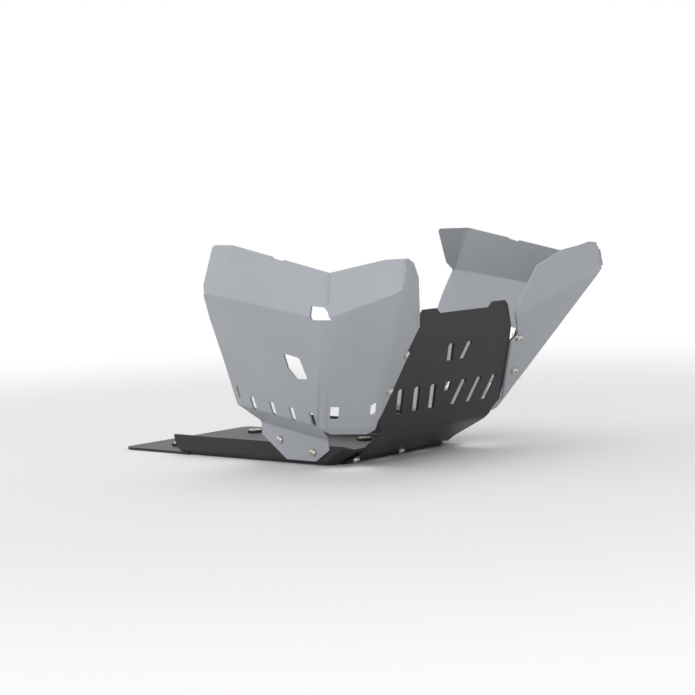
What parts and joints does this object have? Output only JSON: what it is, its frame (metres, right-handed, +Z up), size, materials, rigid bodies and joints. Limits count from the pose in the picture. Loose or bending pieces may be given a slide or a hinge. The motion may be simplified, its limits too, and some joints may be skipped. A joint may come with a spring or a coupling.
{
  "type": "motorcycle skid plate",
  "caption": "Folded black floor pan and slotted front shield for a motorcycle engine, flanked by folded and welded silver side guards, held with stainless bolts.",
  "frame": {"origin": "middle of the flat floor, on its underside", "axes": "+X to the front wheel, +Y to the rider's left, +Z up"},
  "size_m": [0.6607, 0.5566, 0.3225],
  "materials": {
    "black_coat": "satin black powder coat on folded aluminium sheet",
    "silver_coat": "satin silver-grey powder coat on folded and welded aluminium sheet",
    "stainless": "plain stainless steel, lightly brushed",
    "grommet_rubber": "matte black rubber"
  },
  "bodies": {
    "root": {"floor_pan": "black_coat", "front_shield": "black_coat", "right_guard": "silver_coat", "left_guard": "silver_coat", "left_welds": "silver_coat", "right_welds": "silver_coat", "ramp_bolts": "stainless", "ramp_washers": "stainless", "ramp_nuts": "stainless", "wall_bolts": "stainless", "wall_washers": "stainless", "wall_nuts": "stainless", "wing_bolts": "stainless", "wing_washers": "stainless", "wing_nuts": "stainless", "floor_grommets": "grommet_rubber", "floor_sleeves": "stainless"}
  },
  "joints": []
}
